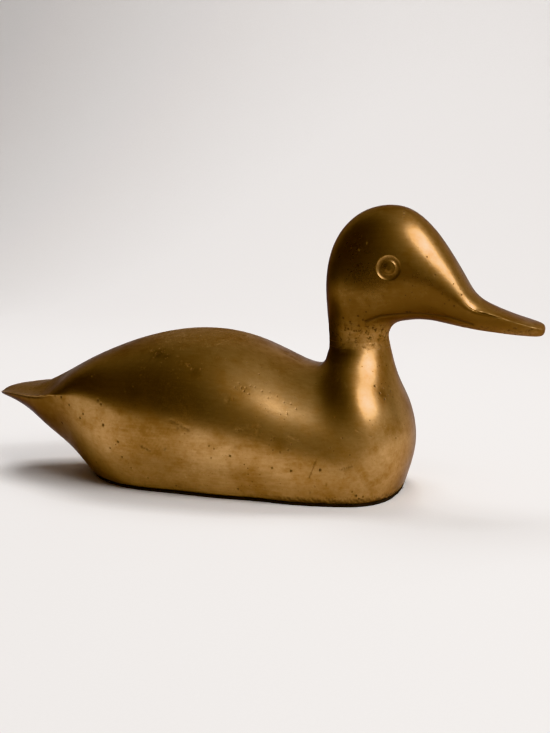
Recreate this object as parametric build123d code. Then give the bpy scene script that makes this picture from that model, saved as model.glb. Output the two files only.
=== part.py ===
from build123d import *
import os

# Brass duck on a felt base. The bill points along +X, the tail along -X, and up is +Z.
# The origin lies under the middle of the overall length, on the surface the duck stands on.
# All lengths are in millimetres. Names that end in share or shares hold plain ratios.

# Body, a hollow casting that is open below
body_length = 199.4            # tip of the tail to the front of the breast
back_height = 69.2             # standing surface to the top of the back
body_width = 88.0              # across the flanks
body_wall = 4.0                # metal left round the hollow of the body

# Neck, with the joint where the two castings meet
neck_setback = 25.0            # axis of the neck behind the front of the breast
neck_depth = 26.8              # fore and aft at the joint
neck_width = 26.8              # across at the joint
neck_joint_height = 66.0       # joint above the standing surface
spigot_diameter = 16.0         # plug under the head that enters the body
spigot_length = 11.0           # plug below the joint
spigot_clearance = 0.1         # gap on the radius between plug and socket
socket_depth = 21.0            # joint down into the hollow of the body
vent_diameter = 9.0            # hole through the plug into the hollow of the head
vent_height = 15.0             # joint up into the hollow of the head
braze_depth = 1.6              # how far the filler goes in from the surface
braze_height = 2.6             # filler seen on the surface

# Head and bill, one hollow casting with a solid bill
head_length = 64.0             # back of the neck to the root of the bill
head_height = 59.6             # joint to the crown
head_width = 36.0              # across the cheeks
head_wall = 4.0                # metal left round the hollow of the head
bill_length = 29.0             # root to tip
bill_width = 21.6              # across at the root
bill_depth = 15.5              # height at the root

# Eyes, a round groove cut in each cheek
eye_setback = 34.6             # centre behind the root of the bill
eye_height = 34.1              # centre above the joint
pupil_diameter = 5.2           # button left standing inside the groove
eye_diameter = 10.6            # outside of the groove
eye_depth = 0.7                # depth of the groove

# Underside, a board let into the rim and felt glued over both
rim_round = 0.8                # eased outer edge of the casting
board_lip = 2.0                # rim of metal left outside the board
board_thickness = 2.0
board_clearance = 0.15         # gap round the board and over it
felt_thickness = 1.3
felt_setback = 0.4             # edge of the felt inside the edge of the casting

overrun = 4.0                  # how far a cutting shape passes the metal it cuts

# Places along the duck that follow from the sizes
back_length = body_length - neck_setback - neck_depth / 2
overall_length = back_length + head_length + bill_length
tail_tip = -overall_length / 2
neck_back = tail_tip + back_length
neck_axis = neck_back + neck_depth / 2
nape_drop_share = 0.382        # lowest place behind the neck, down from the joint
nape_height = neck_joint_height - nape_drop_share * neck_depth
bill_root = neck_back + head_length
bill_floor_share = 0.119       # underside of the bill's root, up the head
bill_floor = neck_joint_height + bill_floor_share * head_height
crown_height = neck_joint_height + head_height
deck_height = felt_thickness + board_thickness

# How full each quarter of a slice is. In order: the top handle across and the bottom handle
# across, as shares of the half width. Then the side's handle up and down, as shares of one
# common reach, with how far each leans inward as a share of the half width.
tail_form_shares = (0.60, 0.30, 0.03, 1.20, 0.55, 0.02)    # flat deck, sharp edge, keel
rump_form_shares = (0.50, 0.45, 0.30, 0.75, 0.20, 0.03)    # the edge fades out
stern_form_shares = (0.54, 0.62, 0.56, 0.72, 0.00, 0.00)   # full below
back_form_shares = (0.55, 0.57, 0.56, 0.56, 0.00, 0.00)    # egg
base_form_shares = (0.54, 0.72, 0.56, 0.60, 0.00, 0.00)    # broad foot
neck_form_shares = (0.55, 0.55, 0.55, 0.55, 0.00, 0.00)    # oval
cheek_form_shares = (0.54, 0.58, 0.60, 0.60, 0.00, 0.00)   # full cheeks
bill_form_shares = (0.60, 0.62, 0.22, 0.85, 0.12, 0.00)    # flat top, soft edges

# The duck's surface runs through slices fanned out from tail to bill. Each slice has its
# top on one line and its underside on another: shares along, up, along, up. Then come the
# half width, how far down the slice it is widest, and the form.
tail_and_back_shares = [
    (0.000, 0.512, 0.000, 0.488, 0.070, 0.300, tail_form_shares),
    (0.006, 0.530, 0.006, 0.481, 0.170, 0.250, tail_form_shares),
    (0.025, 0.549, 0.025, 0.468, 0.284, 0.210, tail_form_shares),
    (0.062, 0.565, 0.062, 0.434, 0.393, 0.170, tail_form_shares),
    (0.124, 0.582, 0.124, 0.330, 0.500, 0.140, tail_form_shares),
    (0.173, 0.627, 0.173, 0.240, 0.582, 0.190, tail_form_shares),
    (0.249, 0.720, 0.249, 0.107, 0.705, 0.220, rump_form_shares),
    (0.348, 0.835, 0.348, -0.079, 0.864, 0.270, stern_form_shares),
    (0.478, 0.945, 0.478, -0.202, 0.961, 0.380, stern_form_shares),
    (0.634, 1.000, 0.634, -0.260, 1.000, 0.430, back_form_shares),
]
nape_shares = [
    (0.758, 0.820, 0.764, -0.275, 1.000, 0.445, back_form_shares),
    (0.851, 0.413, 0.876, -0.275, 0.966, 0.450, back_form_shares),
    (0.913, 0.109, 0.987, -0.275, 0.920, 0.460, base_form_shares),
]
breast_shares = [
    (-0.788, -0.382, 0.883, -0.253, 0.875, 0.480, base_form_shares),
    (-0.665, -0.375, 0.945, -0.145, 0.830, 0.520, base_form_shares),
    (-0.605, -0.352, 0.980, 0.072, 0.761, 0.550, base_form_shares),
    (-0.560, -0.307, 1.000, 0.318, 0.682, 0.560, back_form_shares),
    (-0.534, -0.247, 0.987, 0.549, 0.568, 0.550, neck_form_shares),
    (-0.511, -0.150, 0.961, 0.737, 0.420, 0.530, neck_form_shares),
]
neck_shares = [
    (-0.500, 0.000, 0.500, 0.000, 1.000, 0.500, neck_form_shares),
    (-0.515, 0.262, 0.485, 0.142, 0.985, 0.500, neck_form_shares),
    (-0.541, 0.599, 0.541, 0.270, 1.090, 0.500, neck_form_shares),
]
head_shares = [
    (-0.022, 0.436, 0.484, 0.158, 0.911, 0.500, cheek_form_shares),
    (0.000, 0.621, 0.547, 0.173, 0.978, 0.500, cheek_form_shares),
    (0.072, 0.802, 0.609, 0.181, 1.000, 0.500, cheek_form_shares),
    (0.203, 0.940, 0.666, 0.181, 0.989, 0.500, cheek_form_shares),
    (0.367, 1.000, 0.719, 0.176, 0.956, 0.500, cheek_form_shares),
    (0.531, 0.982, 0.772, 0.166, 0.900, 0.510, cheek_form_shares),
    (0.681, 0.869, 0.828, 0.154, 0.822, 0.520, cheek_form_shares),
    (0.806, 0.701, 0.887, 0.141, 0.744, 0.520, cheek_form_shares),
    (0.912, 0.517, 0.950, 0.129, 0.678, 0.470, cheek_form_shares),
]
bill_shares = [
    (0.000, 1.000, 0.041, 0.000, 1.056, 0.360, bill_form_shares),
    (0.221, 0.736, 0.234, -0.045, 1.000, 0.260, bill_form_shares),
    (0.483, 0.530, 0.483, -0.090, 0.972, 0.220, bill_form_shares),
    (0.724, 0.381, 0.724, -0.116, 0.944, 0.200, bill_form_shares),
    (0.897, 0.291, 0.897, -0.116, 0.796, 0.240, bill_form_shares),
    (0.976, 0.233, 0.976, -0.070, 0.500, 0.320, bill_form_shares),
    (1.000, 0.168, 1.000, 0.010, 0.241, 0.450, bill_form_shares),
]


def on_back(along, up):
    """Point on the middle plane between the tip of the tail and the back of the neck."""
    return Vector(tail_tip + along * back_length, 0, up * back_height)


def on_nape(along, up):
    """Like on_back, but up counts from the lowest place behind the neck to the back."""
    return Vector(tail_tip + along * back_length, 0, nape_height + up * (back_height - nape_height))


def on_body(along, up):
    """Point on the middle plane between the tip of the tail and the front of the breast."""
    return Vector(tail_tip + along * body_length, 0, up * back_height)


def on_neck(along, up):
    """Point on the middle plane, from the axis of the neck and the joint."""
    return Vector(neck_axis + along * neck_depth, 0, neck_joint_height + up * neck_depth)


def on_head(along, up):
    """Point on the middle plane, from the back of the neck and the joint."""
    return Vector(neck_back + along * head_length, 0, neck_joint_height + up * head_height)


def on_bill(along, up):
    """Point on the middle plane, from the underside of the bill's root."""
    return Vector(bill_root + along * bill_length, 0, bill_floor + up * bill_depth)


def place(rows, top_line, under_line, width):
    """Turn rows of shares into slices with real points and a real half width."""
    slices = []
    for along, up, under_along, under_up, half, side, form in rows:
        top = top_line(along, up)
        under = under_line(under_along, under_up)
        slices.append((top, under, half * width / 2, side, form))
    return slices


def outline(one_slice, inset=0):
    """Closed line round a slice, drawn inside the surface by the inset."""
    top, under, half_width, side_share, form = one_slice
    across_top, across_under, up, down, lean_up, lean_down = form
    downward = (under - top).normalized()
    middle = top + (under - top) * side_share
    top = top + downward * inset
    under = under - downward * inset
    outward = Vector(0, half_width - inset, 0)
    side = middle + outward
    # Handles of one reach above and below the side keep the bend even through it
    above = (middle - top).length
    below = (under - middle).length
    reach = downward * (2 * above * below / (above + below))
    over_side = side - reach * up - outward * lean_up
    below_side = side + reach * down - outward * lean_down
    near_top = top + outward * across_top
    near_under = under + outward * across_under
    right = [top, near_top, over_side, side, below_side, near_under, under]
    left = [Vector(point.X, -point.Y, point.Z) for point in reversed(right)]
    return Wire([
        Edge.make_bezier(*right[:4]),
        Edge.make_bezier(*right[3:]),
        Edge.make_bezier(*left[:4]),
        Edge.make_bezier(*left[3:]),
    ])


def form_through(slices, inset=0):
    """Smooth solid through the outlines of the slices."""
    return Solid.make_loft([outline(one, inset) for one in slices])


def slab(low, high):
    """Level block under or through the whole duck between two heights."""
    length = overall_length + 2 * overrun
    width = body_width + 2 * overrun
    corner = (Align.CENTER, Align.CENTER, Align.MIN)
    return Pos(0, 0, low) * Box(length, width, high - low, align=corner)


def round_neck(low, high):
    """Block round the neck alone, clear of the back behind it."""
    start = neck_back - overrun
    length = overall_length / 2 + overrun - start
    width = body_width + 2 * overrun
    corner = (Align.MIN, Align.CENTER, Align.MIN)
    return Pos(start, 0, low) * Box(length, width, high - low, align=corner)


def upright_rod(diameter, low, high):
    """Round rod on the axis of the neck between two heights."""
    corner = (Align.CENTER, Align.CENTER, Align.MIN)
    return Pos(neck_axis, 0, low) * Cylinder(diameter / 2, high - low, align=corner)


# The slices of the whole duck, tail first
back = place(tail_and_back_shares, on_back, on_back, body_width)
nape = place(nape_shares, on_nape, on_back, body_width)
breast = place(breast_shares, on_neck, on_body, body_width)
neck = place(neck_shares, on_neck, on_neck, neck_width)
head = place(head_shares, on_head, on_head, head_width)
bill = place(bill_shares, on_bill, on_bill, bill_width)
duck = form_through(back + nape + breast + neck + head + bill)

# The tail and the bill are solid metal, so the hollows leave out the end slices
hull_slices = back[5:] + nape + breast + neck
skull_slices = neck[2:] + head[:-1]

above_joint = round_neck(neck_joint_height, crown_height + overrun)

# Filler ring: a vee cut all round the neck at the joint and filled flush with the surface
joint = neck[0]
waist = Solid.make_loft(
    [
        Pos(0, 0, -braze_height) * outline(joint, -braze_depth),
        outline(joint, braze_depth),
        Pos(0, 0, braze_height) * outline(joint, -braze_depth),
    ],
    ruled=True,
)
neck_band = round_neck(neck_joint_height - braze_height, neck_joint_height + braze_height)
neck_braze = (duck & neck_band) - waist

# Body casting: hollow from the rump to the breast, with a socket down through the neck
body_casting = (duck - above_joint) & slab(felt_thickness, crown_height)
rim_edges = body_casting.edges().group_by(Axis.Z)[0]
body_casting = fillet(rim_edges, rim_round)
body_casting -= neck_braze
socket_diameter = spigot_diameter + 2 * spigot_clearance
socket_bottom = neck_joint_height - socket_depth
collar_metal = round_neck(socket_bottom + overrun, crown_height)
body_casting -= form_through(hull_slices, body_wall) - collar_metal
body_casting -= upright_rod(socket_diameter, socket_bottom, neck_joint_height + overrun)
recess = form_through(hull_slices, board_lip)
body_casting -= recess & slab(felt_thickness - overrun, deck_height + board_clearance)

# Head casting: hollow skull, solid bill, and a vented plug that enters the body
head_casting = (duck & above_joint) - neck_braze
head_casting -= form_through(skull_slices, head_wall)
spigot_bottom = neck_joint_height - spigot_length
head_casting += upright_rod(spigot_diameter, spigot_bottom, neck_joint_height + braze_height)
head_casting -= upright_rod(vent_diameter, spigot_bottom - overrun, neck_joint_height + vent_height)

# Eyes: a groove of even depth follows the curve of each cheek
under_cheek = form_through(neck[1:] + head + bill, eye_depth)
eye_length = head_width / 2 + overrun
eye_ring = Cylinder(eye_diameter / 2, eye_length) - Cylinder(pupil_diameter / 2, eye_length)
for side in (1, -1):
    eye_centre = Pos(bill_root - eye_setback, side * eye_length / 2, neck_joint_height + eye_height)
    head_casting -= (eye_centre * Rot(90, 0, 0) * eye_ring) - under_cheek

# Underside: board in the recess of the rim, felt over the board and the rim
board_form = form_through(hull_slices, board_lip + board_clearance)
backing_board = board_form & slab(felt_thickness, deck_height)
felt_pad = form_through(hull_slices, felt_setback) & slab(0, felt_thickness)

pieces = {
    "body_casting": body_casting,
    "head_casting": head_casting,
    "neck_braze": neck_braze,
    "backing_board": backing_board,
    "felt_pad": felt_pad,
}
os.makedirs("parts", exist_ok=True)
for name, piece in pieces.items():
    export_step(piece, f"parts/{name}.step")
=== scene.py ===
# %% [markdown]
# # Brass duck
# A hollow brass duck in two castings, head and body, brazed together at the neck. It stands
# on a board and a felt pad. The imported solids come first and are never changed: they give
# the frame, and every visual piece is built in their place. All lengths are in metres here.

# %% Load the solids
import math
from functools import partial

import bmesh
import bpy
import numpy as np
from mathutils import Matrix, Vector
from mathutils.bvhtree import BVHTree


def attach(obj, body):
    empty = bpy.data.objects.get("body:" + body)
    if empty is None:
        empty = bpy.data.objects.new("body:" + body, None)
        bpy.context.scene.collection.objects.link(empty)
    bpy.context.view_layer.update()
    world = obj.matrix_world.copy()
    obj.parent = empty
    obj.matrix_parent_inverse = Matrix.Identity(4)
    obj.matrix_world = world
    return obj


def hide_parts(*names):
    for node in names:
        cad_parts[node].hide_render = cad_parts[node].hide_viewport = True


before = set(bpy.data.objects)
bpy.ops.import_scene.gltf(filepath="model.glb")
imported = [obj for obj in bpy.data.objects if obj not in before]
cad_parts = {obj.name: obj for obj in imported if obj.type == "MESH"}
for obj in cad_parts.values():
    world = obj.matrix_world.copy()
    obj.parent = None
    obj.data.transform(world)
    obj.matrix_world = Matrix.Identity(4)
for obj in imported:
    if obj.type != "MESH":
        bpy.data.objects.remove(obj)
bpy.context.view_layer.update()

print("solids:", ", ".join(sorted(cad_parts)))

# %% [markdown]
# ## Sizes
# The duck is described by the same few sizes as its solids. A looser way would be to
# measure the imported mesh, but then a finer surface could not be drawn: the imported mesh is
# made of facets, and polished metal shows every facet in its reflections.

# %% Sizes of the duck
mm = 0.001
body_length, back_height, body_width, body_wall = 199.4 * mm, 69.2 * mm, 88.0 * mm, 4.0 * mm
neck_setback, neck_depth, neck_width, neck_joint = 25.0 * mm, 26.8 * mm, 26.8 * mm, 66.0 * mm
spigot_diameter, spigot_length, socket_depth = 16.0 * mm, 11.0 * mm, 21.0 * mm
spigot_clearance, vent_diameter, vent_height = 0.1 * mm, 9.0 * mm, 15.0 * mm
braze_depth, braze_height = 1.6 * mm, 2.6 * mm
head_length, head_height, head_width, head_wall = 64.0 * mm, 59.6 * mm, 36.0 * mm, 4.0 * mm
bill_length, bill_width, bill_depth = 29.0 * mm, 21.6 * mm, 15.5 * mm
eye_setback, eye_height, pupil_radius, eye_radius = 34.6 * mm, 34.1 * mm, 2.6 * mm, 5.3 * mm
eye_depth, rim_round, board_lip, board_thickness = 0.7 * mm, 0.8 * mm, 2.0 * mm, 2.0 * mm
board_gap, felt_thickness, felt_setback, overrun = 0.15 * mm, 1.3 * mm, 0.4 * mm, 4.0 * mm
lip_groove_depth, lip_groove_drop = 0.35 * mm, 0.9 * mm
scratch_depth, scratch_width, jaw_depth, jaw_width = 0.09 * mm, 0.35 * mm, 0.3 * mm, 1.1 * mm
nape_share, bill_floor_share = 0.382, 0.119
back_length = body_length - neck_setback - neck_depth / 2
tail_tip = -(back_length + head_length + bill_length) / 2
neck_back = tail_tip + back_length
neck_axis = neck_back + neck_depth / 2
nape = neck_joint - nape_share * neck_depth
bill_root = neck_back + head_length
bill_floor = neck_joint + bill_floor_share * head_height
crown = neck_joint + head_height
print("overall length", round(-2 * tail_tip / mm, 1), "mm")

# %% [markdown]
# ## The slices
# The skin of the duck runs through slices, fanned round the notch behind the neck and round
# the throat. Each row holds where the top of the slice lies, where its underside lies, its
# half width, how far down it is widest, and its form. A form says how full the four
# quarters are. Tracing a silhouette and blowing it up would give a pillow, and subdividing
# a rough cage by eye would lose the crisp edge of the tail.

# %% Slices from tail to bill
tail_form = (0.60, 0.30, 0.03, 1.20, 0.55, 0.02)
rump_form = (0.50, 0.45, 0.30, 0.75, 0.20, 0.03)
stern_form = (0.54, 0.62, 0.56, 0.72, 0.00, 0.00)
back_form = (0.55, 0.57, 0.56, 0.56, 0.00, 0.00)
base_form = (0.54, 0.72, 0.56, 0.60, 0.00, 0.00)
neck_form = (0.55, 0.55, 0.55, 0.55, 0.00, 0.00)
cheek_form = (0.54, 0.58, 0.60, 0.60, 0.00, 0.00)
bill_form = (0.60, 0.62, 0.22, 0.85, 0.12, 0.00)

back_rows = [
    (0.000, 0.512, 0.000, 0.488, 0.070, 0.300, tail_form),
    (0.006, 0.530, 0.006, 0.481, 0.170, 0.250, tail_form),
    (0.025, 0.549, 0.025, 0.468, 0.284, 0.210, tail_form),
    (0.062, 0.565, 0.062, 0.434, 0.393, 0.170, tail_form),
    (0.124, 0.582, 0.124, 0.330, 0.500, 0.140, tail_form),
    (0.173, 0.627, 0.173, 0.240, 0.582, 0.190, tail_form),
    (0.249, 0.720, 0.249, 0.107, 0.705, 0.220, rump_form),
    (0.348, 0.835, 0.348, -0.079, 0.864, 0.270, stern_form),
    (0.478, 0.945, 0.478, -0.202, 0.961, 0.380, stern_form),
    (0.634, 1.000, 0.634, -0.260, 1.000, 0.430, back_form),
]
nape_rows = [
    (0.758, 0.820, 0.764, -0.275, 1.000, 0.445, back_form),
    (0.851, 0.413, 0.876, -0.275, 0.966, 0.450, back_form),
    (0.913, 0.109, 0.987, -0.275, 0.920, 0.460, base_form),
]
breast_rows = [
    (-0.788, -0.382, 0.883, -0.253, 0.875, 0.480, base_form),
    (-0.665, -0.375, 0.945, -0.145, 0.830, 0.520, base_form),
    (-0.605, -0.352, 0.980, 0.072, 0.761, 0.550, base_form),
    (-0.560, -0.307, 1.000, 0.318, 0.682, 0.560, back_form),
    (-0.534, -0.247, 0.987, 0.549, 0.568, 0.550, neck_form),
    (-0.511, -0.150, 0.961, 0.737, 0.420, 0.530, neck_form),
]
neck_rows = [
    (-0.500, 0.000, 0.500, 0.000, 1.000, 0.500, neck_form),
    (-0.515, 0.262, 0.485, 0.142, 0.985, 0.500, neck_form),
    (-0.541, 0.599, 0.541, 0.270, 1.090, 0.500, neck_form),
]
head_rows = [
    (-0.022, 0.436, 0.484, 0.158, 0.911, 0.500, cheek_form),
    (0.000, 0.621, 0.547, 0.173, 0.978, 0.500, cheek_form),
    (0.072, 0.802, 0.609, 0.181, 1.000, 0.500, cheek_form),
    (0.203, 0.940, 0.666, 0.181, 0.989, 0.500, cheek_form),
    (0.367, 1.000, 0.719, 0.176, 0.956, 0.500, cheek_form),
    (0.531, 0.982, 0.772, 0.166, 0.900, 0.510, cheek_form),
    (0.681, 0.869, 0.828, 0.154, 0.822, 0.520, cheek_form),
    (0.806, 0.701, 0.887, 0.141, 0.744, 0.520, cheek_form),
    (0.912, 0.517, 0.950, 0.129, 0.678, 0.470, cheek_form),
]
bill_rows = [
    (0.000, 1.000, 0.041, 0.000, 1.056, 0.360, bill_form),
    (0.221, 0.736, 0.234, -0.045, 1.000, 0.260, bill_form),
    (0.483, 0.530, 0.483, -0.090, 0.972, 0.220, bill_form),
    (0.724, 0.381, 0.724, -0.116, 0.944, 0.200, bill_form),
    (0.897, 0.291, 0.897, -0.116, 0.796, 0.240, bill_form),
    (0.976, 0.233, 0.976, -0.070, 0.500, 0.320, bill_form),
    (1.000, 0.168, 1.000, 0.010, 0.241, 0.450, bill_form),
]

print("rows of shares:", len(back_rows + nape_rows + breast_rows + neck_rows + head_rows + bill_rows))


# %% From shares to real slices
def between(start, length, floor, height):
    """Turn shares along and up into a real point in the duck's middle plane."""
    return lambda along, up: np.array([start + along * length, 0, floor + up * height])


def place(rows, top_line, under_line, width):
    """Rows of shares as slices with real points and a real half width."""
    return [
        (top_line(a, b), under_line(c, d), half * width / 2, side, form)
        for a, b, c, d, half, side, form in rows
    ]


on_back = between(tail_tip, back_length, 0, back_height)
on_nape = between(tail_tip, back_length, nape, back_height - nape)
on_body = between(tail_tip, body_length, 0, back_height)
on_neck = between(neck_axis, neck_depth, neck_joint, neck_depth)
on_head = between(neck_back, head_length, neck_joint, head_height)
on_bill = between(bill_root, bill_length, bill_floor, bill_depth)
back = place(back_rows, on_back, on_back, body_width)
nape_slices = place(nape_rows, on_nape, on_back, body_width)
breast = place(breast_rows, on_neck, on_body, body_width)
neck = place(neck_rows, on_neck, on_neck, neck_width)
head = place(head_rows, on_head, on_head, head_width)
bill = place(bill_rows, on_bill, on_bill, bill_width)
duck = back + nape_slices + breast + neck + head + bill
hull = back[5:] + nape_slices + breast + neck
skull = neck[2:] + head[:-1]
joint_index = len(back) + len(nape_slices) + len(breast)
print("slices:", len(duck), "with the joint at slice", joint_index)

# %% [markdown]
# ## From slices to a skin
# The right half of a slice is two cubic curves that meet at its widest point. A smooth curve
# is then run through each of their seven poles from slice to slice, so the skin bends evenly
# along the duck as well as round it. Rings are laid close together and their points are
# crowded where the form is tight, which is at the edge of the tail.


# %% Curves through the slices
def slice_poles(one_slice, inset=0.0):
    """Seven poles of the right half, from the top over the side to the underside."""
    top, under, half_width, side_share, form = one_slice
    across_top, across_under, up, down, lean_up, lean_down = form
    downward = (under - top) / np.linalg.norm(under - top)
    middle = top + (under - top) * side_share
    top, under = top + downward * inset, under - downward * inset
    outward = np.array([0, half_width - inset, 0])
    side = middle + outward
    above, below = np.linalg.norm(middle - top), np.linalg.norm(under - middle)
    reach = downward * (2 * above * below / (above + below))
    return np.array([
        top, top + outward * across_top, side - reach * up - outward * lean_up,
        side,
        side + reach * down - outward * lean_down, under + outward * across_under, under,
    ])


def run_through(poles):
    """Smooth curves through the poles of all slices, timed by the mean step between them."""
    step = np.linalg.norm(np.diff(poles, axis=0), axis=2).mean(axis=1)
    clock = np.concatenate([[0], np.cumsum(step)])
    count = len(clock)
    system, wanted = np.eye(count), np.zeros_like(poles)
    for i in range(1, count - 1):
        system[i, i - 1:i + 2] = step[i - 1], 2 * (step[i - 1] + step[i]), step[i]
        slope_after = (poles[i + 1] - poles[i]) / step[i]
        slope_before = (poles[i] - poles[i - 1]) / step[i - 1]
        wanted[i] = 6 * (slope_after - slope_before)
    bend = np.linalg.solve(system, wanted.reshape(count, -1)).reshape(poles.shape)

    def at(times):
        i = np.clip(np.searchsorted(clock, times, side="right") - 1, 0, count - 2)
        h = step[i][:, None, None]
        after = (times - clock[i])[:, None, None] / h
        before = 1 - after
        curve = before * poles[i] + after * poles[i + 1]
        return curve + ((before**3 - before) * bend[i] + (after**3 - after) * bend[i + 1]) * h * h / 6

    return clock, at


def ring_times(clock, at, first, last, spacing, samples=3000):
    """Times between two slices at which no pole moves further than the spacing."""
    ends = np.interp((first, last), range(len(clock)), clock)
    fine = np.linspace(*ends, samples)
    moved = np.linalg.norm(np.diff(at(fine), axis=0), axis=2).max(axis=1)
    travel = np.concatenate([[0], np.cumsum(moved)])
    count = math.ceil(travel[-1] / spacing)
    return np.interp(np.linspace(0, travel[-1], count + 1), travel, fine)


def half_line(seven, steps=120):
    """The right half of a slice as a fine line."""
    t = np.linspace(0, 1, steps + 1)[:, None]
    weights = ((1 - t)**3, 3 * t * (1 - t)**2, 3 * t * t * (1 - t), t**3)
    upper = sum(w * p for w, p in zip(weights, seven[:4]))
    lower = sum(w * p for w, p in zip(weights, seven[3:]))
    return np.vstack([upper, lower[1:]])


def even_steps(line, wanted, count):
    """Points along a line whose steps keep the proportions of the wanted ones."""
    gap = np.linalg.norm(np.diff(line, axis=0), axis=1)
    weight = np.concatenate([[0], np.cumsum(gap * 2 / (wanted[1:] + wanted[:-1]))])
    places = np.linspace(0, weight[-1], count + 1)
    return np.stack([np.interp(places, weight, line[:, k]) for k in range(3)], axis=1)


print("curves ready, from slice 0 to slice", len(duck) - 1)


# %% Skins as closed meshes
def ring_mesh(rings):
    """Closed skin through rings of equal size, each end closed by a flat fan of rings."""
    first, last = rings[0], rings[-1]
    shrink = (0.93, 0.75, 0.5, 0.25)
    head_end = [first.mean(axis=0) + (first - first.mean(axis=0)) * s for s in reversed(shrink)]
    tail_end = [last.mean(axis=0) + (last - last.mean(axis=0)) * s for s in shrink]
    rings = np.array([*head_end, *rings, *tail_end])
    count, around = rings.shape[:2]
    points = np.vstack([rings.reshape(-1, 3), first.mean(axis=0), last.mean(axis=0)])
    index = np.arange(count * around).reshape(count, around)
    turned = np.roll(index, -1, axis=1)
    faces = np.stack([index[:-1], index[1:], turned[1:], turned[:-1]], axis=-1)
    faces = faces.reshape(-1, 4).tolist()
    start, end = count * around, count * around + 1
    faces += [[start, index[0, i], turned[0, i]] for i in range(around)]
    faces += [[end, turned[-1, i], index[-1, i]] for i in range(around)]
    return points, faces


def put_in_scene(name, data):
    """A new object at the origin that carries the given data."""
    held = bpy.data.objects.new(name, data)
    bpy.context.scene.collection.objects.link(held)
    return held


def make_piece(name, points, faces):
    """A mesh object at the origin with its faces pointing outwards."""
    mesh = bpy.data.meshes.new(name)
    mesh.from_pydata([tuple(p) for p in points], [], faces)
    shape = bmesh.new()
    shape.from_mesh(mesh)
    bmesh.ops.recalc_face_normals(shape, faces=shape.faces)
    if shape.calc_volume(signed=True) < 0:
        bmesh.ops.reverse_faces(shape, faces=shape.faces)
    shape.to_mesh(mesh)
    shape.free()
    return put_in_scene(name, mesh)


def skin_between(name, slices, first, last, spacing, count, inset=0.0, rule=None):
    """Skin through part of the slices. The rule gives the wanted step along each line."""
    clock, at = run_through(np.array([slice_poles(s, inset) for s in slices]))
    rings = []
    for seven in at(ring_times(clock, at, first, last, spacing)):
        line = half_line(seven)
        wanted = np.ones(len(line)) if rule is None else rule(line)
        half = even_steps(line, wanted, count)
        rings.append(np.vstack([half, half[1:-1][::-1] * [1, -1, 1]]))
    return make_piece(name, *ring_mesh(np.array(rings)))


print("closed skins ready")


# %% The skins of the body and the head
def body_steps(line):
    """Close steps beside the sharp edge of the tail and wide ones elsewhere."""
    closest, widest, growth = 0.15 * mm, 1 * mm, 0.35
    tail_root, tail_fade, off_tail = -90 * mm, 20 * mm, 5 * mm
    from_edge = np.linalg.norm(line - line[len(line) // 2], axis=1)
    tail = np.clip((tail_root - line[:, 0]) / tail_fade, 0, 1)
    return np.minimum(widest, closest + growth * from_edge + (1 - tail) * off_tail)


body_spacing, head_spacing, body_count, head_count = 0.95 * mm, 0.62 * mm, 120, 105
body_end, head_start = joint_index + 0.6, joint_index - 0.4
body = skin_between("body_casting_skin", duck, 0, body_end, body_spacing, body_count, rule=body_steps)
head_piece = skin_between("head_casting_skin", duck, head_start, len(duck) - 1, head_spacing, head_count)
print("skins of", len(body.data.polygons), "and", len(head_piece.data.polygons), "faces")

# %% [markdown]
# ## Camera
# The camera stands where the photographer stood, 17 degrees round towards the breast and a
# little above. It could be made last, as usual, but a mark seen in the picture is put on the
# metal by sending a ray through that place of the picture, so the camera comes first.

# %% Camera
picture_width, picture_height, focal_pixels, sensor = 550, 733, 1223.4, 36
camera_turn, camera_rise, camera_distance = math.radians(17), math.radians(9.5), 550 * mm
camera_target = Vector((8.6 * mm, 0, 53 * mm))


def way_to(turn, rise):
    """Direction by the angle round from the duck's right side and the angle up."""
    return Vector((math.sin(turn) * math.cos(rise), -math.cos(turn) * math.cos(rise), math.sin(rise)))


def look_back(held, way, target, distance):
    """Set a camera or lamp down at a distance from its target, facing it."""
    held.rotation_mode = "QUATERNION"
    held.rotation_quaternion = way.to_track_quat("Z", "Y")
    held.location = target + way * distance


towards_camera = way_to(camera_turn, camera_rise)
camera = put_in_scene("camera", bpy.data.cameras.new("camera"))
look_back(camera, towards_camera, camera_target, camera_distance)
camera.data.sensor_width = sensor
camera.data.lens = sensor * focal_pixels / picture_height
camera.data.clip_start, camera.data.clip_end = 10 * mm, 20
bpy.context.scene.camera = camera


def picture_ray(x, y):
    """Direction from the camera through a place of the picture, x right and y down."""
    right = Vector((math.cos(camera_turn), math.sin(camera_turn), 0))
    up = towards_camera.cross(right)
    across, above = x - picture_width / 2, picture_height / 2 - y
    return (right * across + up * above - towards_camera * focal_pixels).normalized()


print("camera at", [round(v, 3) for v in camera.location])

# %% [markdown]
# ## Working on a mesh
# A few small helpers serve all pieces. Some read and move points, or keep a number on each.
# One makes the net finer only where fine work comes. One cuts a piece with another solid, the
# way a file or a milling cutter takes metal away, so that walls, recesses and the joint have
# true edges. Sinking them in the shading alone would leave no edge in the mesh.


# %% Helpers for meshes
def read(items, name, width=1, kind=float):
    """One value for each item of a mesh, or one row of values."""
    values = np.zeros(len(items) * width, kind)
    items.foreach_get(name, values)
    return values if width == 1 else values.reshape(-1, width)


def points_of(piece):
    return read(piece.data.vertices, "co", 3)


def normals_of(piece):
    return read(piece.data.vertex_normals, "vector", 3, np.float32).astype(float)


def distance(points, spot):
    return np.linalg.norm(points - spot, axis=1)


def move_points(piece, points):
    piece.data.vertices.foreach_set("co", points.astype(np.float32).ravel())
    piece.data.update()


def store(piece, name, values):
    """Keep one number per point on the mesh, for the nodes and the material to read."""
    held = piece.data.attributes.get(name) or piece.data.attributes.new(name, "FLOAT", "POINT")
    held.data.foreach_set("value", np.asarray(values, np.float32))


print("mesh readers ready")


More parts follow.
